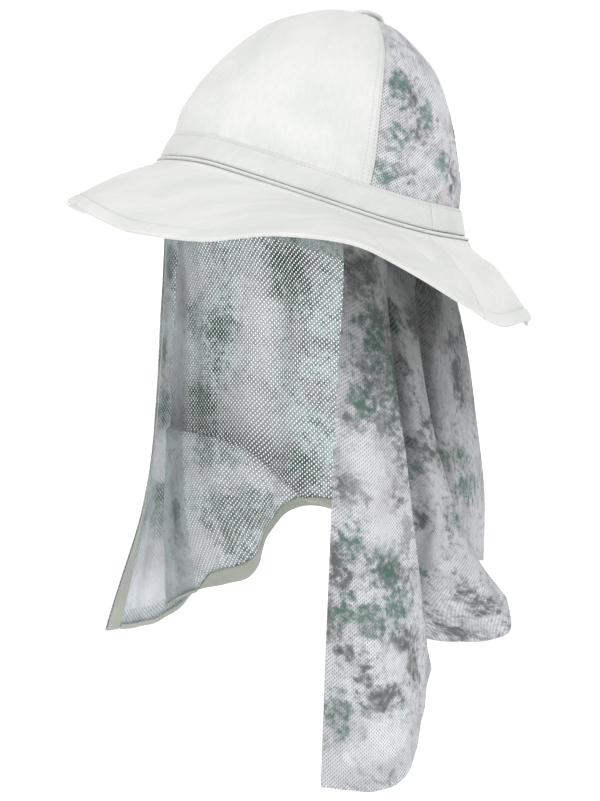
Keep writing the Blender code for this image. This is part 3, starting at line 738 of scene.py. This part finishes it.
CURTAIN_GREEN = [(-0.192, 0.056, 0.006, 0.010), (-0.201, 0.218, 0.008, 0.004), (-0.199, 0.146, 0.006, 0.006),
                 (-0.125, 0.137, 0.022, 0.008), (-0.110, 0.158, 0.026, 0.010), (-0.160, 0.180, 0.010, 0.010),
                 (0.184, 0.087, 0.013, 0.013), (0.148, 0.093, 0.014, 0.013), (0.152, 0.115, 0.006, 0.010),
                 (0.170, 0.146, 0.017, 0.013), (0.165, 0.184, 0.009, 0.034), (0.158, 0.235, 0.013, 0.026),
                 (0.146, 0.200, 0.007, 0.034), (0.128, 0.222, 0.014, 0.012),
                 (0.095, 0.188, 0.014, 0.012), (0.204, 0.220, 0.008, 0.010), (0.092, 0.052, 0.017, 0.023),
                 (0.140, 0.215, 0.010, 0.020), (0.000, 0.100, 0.022, 0.018), (-0.060, 0.060, 0.014, 0.012),
                 (0.045, 0.085, 0.012, 0.020), (-0.010, 0.210, 0.020, 0.010)]
CURTAIN_PALE = [(0.180, 0.052, 0.022, 0.024), (0.200, 0.100, 0.016, 0.060),
                (0.120, 0.090, 0.016, 0.050), (0.125, 0.150, 0.020, 0.024),
                (0.150, 0.200, 0.040, 0.012), (0.185, 0.250, 0.018, 0.016), (-0.160, 0.205, 0.006, 0.022),
                (-0.195, 0.200, 0.012, 0.012), (0.020, 0.060, 0.020, 0.016)]
RIGHT_DARK = [(0.008, 0.215, 0.010, 0.006), (-0.010, 0.120, 0.012, 0.012), (0.010, 0.060, 0.010, 0.012)]
RIGHT_GREEN = [(0.004, 0.220, 0.010, 0.010), (0.004, 0.240, 0.010, 0.012), (-0.005, 0.268, 0.007, 0.016),
               (0.000, 0.160, 0.012, 0.016), (-0.012, 0.080, 0.010, 0.016)]
RIGHT_PALE = [(0.000, 0.280, 0.030, 0.040), (0.000, 0.190, 0.020, 0.020)]
CROWN_DARK = [(0.112, 0.092, 0.009, 0.011), (0.116, 0.068, 0.006, 0.008), (0.150, 0.045, 0.004, 0.016),
              (0.108, 0.040, 0.007, 0.006), (0.180, 0.080, 0.014, 0.012), (0.230, 0.050, 0.014, 0.016),
              (0.290, 0.090, 0.016, 0.012), (0.345, 0.060, 0.012, 0.014)]
CROWN_GREEN = [(0.101, 0.100, 0.008, 0.012), (0.103, 0.062, 0.007, 0.012), (0.126, 0.082, 0.006, 0.014),
               (0.134, 0.052, 0.008, 0.012), (0.096, 0.034, 0.007, 0.008), (0.200, 0.050, 0.016, 0.012),
               (0.255, 0.095, 0.014, 0.014), (0.320, 0.100, 0.010, 0.014), (0.375, 0.080, 0.014, 0.012)]
CROWN_PALE = [(0.140, 0.100, 0.014, 0.016), (0.118, 0.048, 0.014, 0.010), (0.215, 0.100, 0.018, 0.014)]


def patches(uv, places):
    """Strength 0 to 1 of a dye that lies in soft patches with ragged outlines."""
    found = np.zeros(uv.shape[:2])
    flat = np.stack([uv[..., 0], uv[..., 1], 0 * uv[..., 0]], -1)
    ragged = np.stack([noise_at(flat, 130.0, 1.0) + 0.5 * noise_at(flat, 300.0, 3.0),
                       noise_at(flat, 130.0, 7.0) + 0.5 * noise_at(flat, 300.0, 9.0)], -1)
    uv = uv + ragged * 0.008
    for across, down, half_width, half_height in places:
        away = np.hypot((uv[..., 0] - across) / half_width, (uv[..., 1] - down) / half_height)
        found = np.maximum(found, smooth(away, 1.7, 0.3))
    return found


def dyed(uv, green, dark, pale_and_painted_light, painted_shade=0.0, lined=0.0):
    """The attributes printed_mesh reads: print patches, paler patches that are partly painted light, painted
    shade that greys the print, and lined, which is where a facing backs it.
    """
    level = np.zeros(uv.shape[:2])
    return {"dye_green": patches(uv, green), "dye_dark": patches(uv, dark), "pale_and_painted_light": patches(uv, pale_and_painted_light),
            "painted_shade": level + painted_shade, "lined": level + lined}


def strip(grid, count, widths):
    """Grid over a sheet's first columns, as many of them as widths says for each row."""
    at = spaced(0, 1, count)[:, None] * np.asarray(widths, float)[None]
    low = np.floor(at).astype(int)
    rows = np.arange(grid.shape[1])[None]
    return grid[low, rows] + (grid[low + 1, rows] - grid[low, rows]) * (at - low)[..., None]


def folds(uv, seed):
    """Soft folds that run down the cloth."""
    stretched = np.stack([uv[..., 0] * 60, uv[..., 1] * 9, 0 * uv[..., 0]], -1)
    return noise_at(stretched, 1.0, seed) * smooth(uv[..., 1], 0.01, 0.08)


def draped(ribs, inset, columns, rows):
    """Grid through a panel's ribs, spaced evenly in distance both ways."""
    lines = []
    for azimuth, points in ribs:
        line = np.vstack([ring(azimuth, VEIL_TOP, inset), np.array(points)])
        lines.append(keyed(list(zip(LEVELS[len(line)], line)), spaced(0, 1, rows)))
    lines = np.array(lines)
    at = np.linspace(0, 1, len(ribs))
    fine = np.stack([keyed(list(zip(at, lines[:, j])), spaced(0, 1, columns * 2)) for j in range(rows)], 1)
    length = lengths_along(fine, 0)[:, rows // 2]
    even = np.interp(np.linspace(0, length[-1], columns), length, np.linspace(0, 1, columns * 2))
    return np.stack([keyed(list(zip(at, lines[:, j])), even) for j in range(rows)], 1)


def veil_uv(grid):
    """Cloth measures from the sewn edge down, and from the middle of the panel across."""
    across = lengths_along(grid, 0)
    across = across - across[len(grid) // 2]
    return np.stack([across, lengths_along(grid, 1)], -1)


def hang(pieces):
    """Pieces sewn to the hat: each one's transform is baked into its mesh."""
    for piece in pieces:
        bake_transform(piece)


def build_tail(side, ribs, material, hand, dyes):
    """A front tail with the facings of its front edge and of its hem. hand: 1 left, -1 right."""
    grid = draped(ribs, TAIL_IN, TAIL_COLUMNS, TAIL_ROWS)
    uv = veil_uv(grid)
    grid = grid + normals_of(grid) * (folds(uv, 2.0 + hand) * 0.0022)[..., None]
    inward = normals_of(grid) * hand
    if hand > 0:
        # Painted shade: the top of the near tail is greyed where the brim's shadow falls.
        painted_shade, lined = 0.62 * smooth(uv[..., 1], 0.135, 0.045), 0.8
        taper, hem_width = np.ones(TAIL_ROWS), np.where(np.arange(TAIL_COLUMNS) < 12, 3.0, 9.0)
    else:
        columns, rows = np.meshgrid(np.arange(TAIL_COLUMNS), np.arange(TAIL_ROWS), indexing="ij")
        painted_shade, lined = 0.0, np.maximum(smooth(columns, 13, 11), smooth(rows, 248, 250))
        taper, hem_width = smooth(np.arange(TAIL_ROWS), 185, 250), np.full(TAIL_COLUMNS, 3.0)
    sheet = cloth(f"veil_{side}_tail", grid, MESH, (material, mesh_inside), uv=uv, outward=-hand,
                  dyes=dyed(uv, *dyes, painted_shade, lined))
    inner = grid + inward * FACING_IN
    front = cloth(f"facing_{side}_front", strip(inner, 12, 0.7 + 10.8 * taper), FACING,
                  (facing_cloth, facing_cloth), outward=-hand)
    hem_grid = strip(inner.swapaxes(0, 1)[::-1], 8, hem_width).swapaxes(0, 1)[12:, ::-1]
    hem = cloth(f"facing_{side}_hem", hem_grid + inward[12:, -8:] * 0.0006, FACING,
                (facing_cloth, facing_cloth), outward=-hand)
    for piece, slot_name, node in ((sheet, "printed_mesh", f"veil_{side}_tail"),
                                   (front, "veil_facing", f"facing_{side}_front"),
                                   (hem, "veil_facing", f"facing_{side}_hem")):
        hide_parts(node)
    hang([sheet, front, hem])


def lapped(grid, uv):
    """How far each point of the curtain steps: over the long fold, and over the short one in front."""
    azimuth = np.degrees(np.arctan2(grid[..., 0], -grid[..., 1])) % 360
    long_fold = smooth(grid[..., 2] - keyed(LAP, azimuth), -0.0012, 0.0022)
    across, down = uv[..., 0] - 0.148, uv[..., 1] - 0.245
    short_fold = smooth(across * 0.54 - down * 0.84, -0.0010, 0.0012) * smooth(uv[..., 1], 0.232, 0.25)
    far = smooth(azimuth, 212, 226)
    return (0.0030 * (long_fold - 1) * far, 0.0026 * short_fold * smooth(uv[..., 0], 0.12, 0.14))


def curtain_shading(uv, above, near):
    """Painted shade on the print: greyer under the brim, in the pleats and hollows, and on both sides of the
    long fold. Also returns the lower tier below the fold, which is given painted light.
    """
    across, down = uv[..., 0], uv[..., 1]
    over = smooth(across, 0.075, 0.10) * smooth(above, -0.001, 0.001)
    under = smooth(across, 0.075, 0.10) * smooth(above, 0.001, -0.001)
    pleat_shade = near * bump(across, -0.150, 0.013) * smooth(down, 0.25, 0.08)
    tucked_shade = near * bump(across, -0.198, 0.007) * smooth(down, 0.27, 0.20)
    hollow_shade = near * bump(across, -0.14, 0.028) * smooth(down, 0.075, 0.03)
    # Painted shade: darker under the brim, in the pleats and hollows, above the long fold and in a thin line
    # just below it.
    painted_shade = ((0.56 * smooth(down, 0.17, 0.05) + 0.12 * smooth(down, 0.26, 0.18)) * near
            + 0.6 * pleat_shade + 0.5 * tucked_shade + 0.6 * hollow_shade
            + over * 0.55 * np.exp(-np.clip(above, 0, 1) / 0.030)
            + under * (0.10 + 0.25 * np.exp(np.clip(above, -1, 0) / 0.003)))
    return np.clip(painted_shade, 0, 1), under


def build_curtain():
    """The rear curtain with its pleats and folds, the facing of its hem and the tape of its sewn edge."""
    grid = draped(CURTAIN, CURTAIN_IN, CURTAIN_COLUMNS, CURTAIN_ROWS)
    uv = veil_uv(grid)
    grid = grid + normals_of(grid) * (folds(uv, 5.0) * 0.0018)[..., None]
    long_fold, short_fold = lapped(grid, uv)
    grid = grid + normals_of(grid) * (long_fold + short_fold)[..., None]
    inward = normals_of(grid)
    near = smooth(uv[..., 0], -0.06, -0.062)
    above = grid[..., 2] - keyed(LAP, np.degrees(np.arctan2(grid[..., 0], -grid[..., 1])) % 360)
    painted_shade, under = curtain_shading(uv, above, near)
    dyes = dyed(uv, CURTAIN_GREEN, CURTAIN_DARK, CURTAIN_PALE, painted_shade, near)
    # Painted light: the lower tier below the long fold is made paler.
    dyes["pale_and_painted_light"] = np.maximum(dyes["pale_and_painted_light"], 0.30 * under)
    sheet = cloth("veil_curtain", grid, MESH, (mesh_curtain, mesh_near, mesh_inside), uv=uv, outward=-1,
                  dyes=dyes)
    near_columns = int((uv[:, 0, 0] < -0.06).sum())
    for face in sheet.data.polygons[:near_columns * (CURTAIN_ROWS - 1)]:
        face.material_index = 1
    inner = grid + inward * FACING_IN
    hem_width = 2.0 + 7.0 * smooth(uv[:, -1, 0], 0.205, 0.190) * smooth(uv[:, -1, 0], -0.13, -0.09)
    hem_grid = strip(inner.swapaxes(0, 1)[::-1], 9, hem_width).swapaxes(0, 1)[:, ::-1]
    hem = cloth("facing_curtain_hem", hem_grid, FACING, (facing_cloth, facing_cloth), outward=-1)
    azimuth, v = np.meshgrid(spaced(66, 294, 160), spaced(0, 1, 5), indexing="ij")
    tape_grid = ring(azimuth, -0.0078 + 0.0066 * v, CURTAIN_IN - 0.0016 - 0.002 * v)
    tape = cloth("curtain_top_tape", tape_grid, TAPE, (facing_cloth, facing_cloth))
    for piece, slot_name, node in ((sheet, "printed_mesh", "veil_curtain"),
                                   (hem, "veil_facing", "facing_curtain_hem"),
                                   (tape, "veil_facing", "curtain_top_tape")):
        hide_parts(node)
    hang([sheet, hem, tape])


def build_veil():
    build_tail("left", LEFT_TAIL, mesh_left, 1, (LEFT_GREEN, LEFT_DARK, LEFT_PALE))
    build_tail("right", RIGHT_TAIL, mesh_right, -1, (RIGHT_GREEN, RIGHT_DARK, RIGHT_PALE))
    build_curtain()


# ---------------------------------------------------------------- camera, floor and light
PIXEL = 0.000596           # metres a picture element covers at the hat
DISTANCE = 1.8
AZIMUTH, ELEVATION = radians(41.5), radians(18.8)
WIDTH = 600                # picture elements across, for the lens
WORLD_LIGHT, FLOOR_GLOW = 0.62, 0.42
FLOOR_HALF, FLOOR_GAP = 25.0, 0.03
LIGHTS = (("key", (0.3, -1.3, 2.1), 1.5, 19.0), ("side", (1.9, -0.5, 0.9), 1.2, 5.0),
          ("back", (-1.0, 1.5, 0.2), 1.2, 12.0))         # place, size and watts


def build_studio():
    scene = bpy.context.scene
    scene.view_settings.view_transform = "Standard"
    right = np.array([cos(AZIMUTH), sin(AZIMUTH), 0])
    up = np.array([-sin(AZIMUTH) * sin(ELEVATION), cos(AZIMUTH) * sin(ELEVATION), cos(ELEVATION)])
    back = np.cross(right, up)
    camera = bpy.data.objects.new("camera", bpy.data.cameras.new("camera"))
    camera.data.sensor_fit = "HORIZONTAL"
    camera.data.lens = camera.data.sensor_width * DISTANCE / (WIDTH * PIXEL)
    camera.location = Vector(back * DISTANCE - right * 16 * PIXEL - up * 205.5 * PIXEL)
    camera.rotation_euler = (pi / 2 - ELEVATION, 0, AZIMUTH)
    scene.collection.objects.link(camera)
    scene.camera = camera

    world = bpy.data.worlds.new("studio")
    world.use_nodes = True
    world.node_tree.nodes["Background"].inputs["Color"].default_value = (1, 1, 1, 1)
    world.node_tree.nodes["Background"].inputs["Strength"].default_value = WORLD_LIGHT
    scene.world = world

    floor_mesh = bpy.data.meshes.new("floor")
    half, depth = FLOOR_HALF, cad_box[0][2] - FLOOR_GAP
    corners = [(-half, -half, depth), (half, -half, depth), (half, half, depth), (-half, half, depth)]
    floor_mesh.from_pydata(corners, [], [(0, 1, 2, 3)])
    floor = bpy.data.objects.new("floor", floor_mesh)
    paper = Nodes("paper", 0.9)
    paper.shader.inputs["Base Color"].default_value = (0.9, 0.9, 0.9, 1)
    paper.shader.inputs["Emission Color"].default_value = (1, 1, 1, 1)
    paper.shader.inputs["Emission Strength"].default_value = FLOOR_GLOW
    floor_mesh.materials.append(paper.material)
    scene.collection.objects.link(floor)

    for name, place, size, power in LIGHTS:
        light = bpy.data.objects.new(name, bpy.data.lights.new(name, "AREA"))
        light.data.shape = "SQUARE"
        light.data.size = size
        light.data.energy = power
        light.location = place
        light.rotation_euler = (Vector((0, 0, -0.05)) - Vector(place)).to_track_quat("-Z", "Y").to_euler()
        scene.collection.objects.link(light)


build_crown()
build_top_loop()
build_band()
build_brim()
build_veil()
build_studio()
